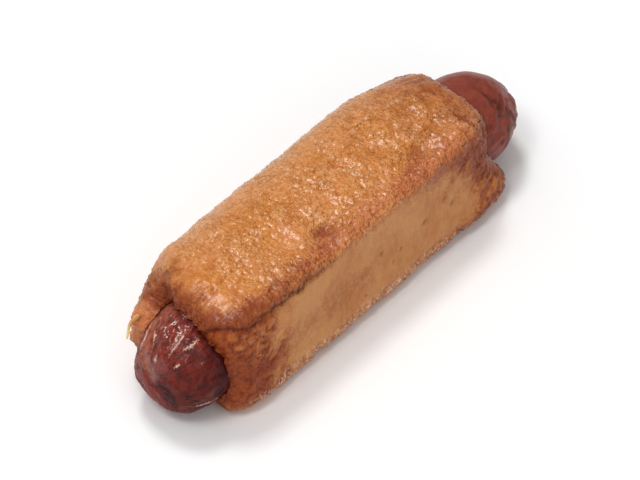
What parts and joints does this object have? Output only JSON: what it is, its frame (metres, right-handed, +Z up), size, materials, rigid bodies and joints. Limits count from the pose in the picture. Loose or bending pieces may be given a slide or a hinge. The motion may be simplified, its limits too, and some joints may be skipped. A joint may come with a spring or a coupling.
{
  "type": "sausage roll",
  "caption": "Fried pastry snack: a frankfurter lying right through a rounded-square jacket of blistered dough, with both sausage ends showing.",
  "frame": {"origin": "centre of the footprint, on the flat underside that the roll rests on", "axes": "+X along the sausage, -Y towards the smooth pale side of the jacket, +Z up"},
  "size_m": [0.1272, 0.0372, 0.0317],
  "materials": {
    "fried_dough": "satin, blistered and oily above, dull below",
    "sausage_skin": "glossy, wrinkled"
  },
  "bodies": {
    "root": {"jacket": "fried_dough", "sausage": "sausage_skin"}
  },
  "joints": []
}
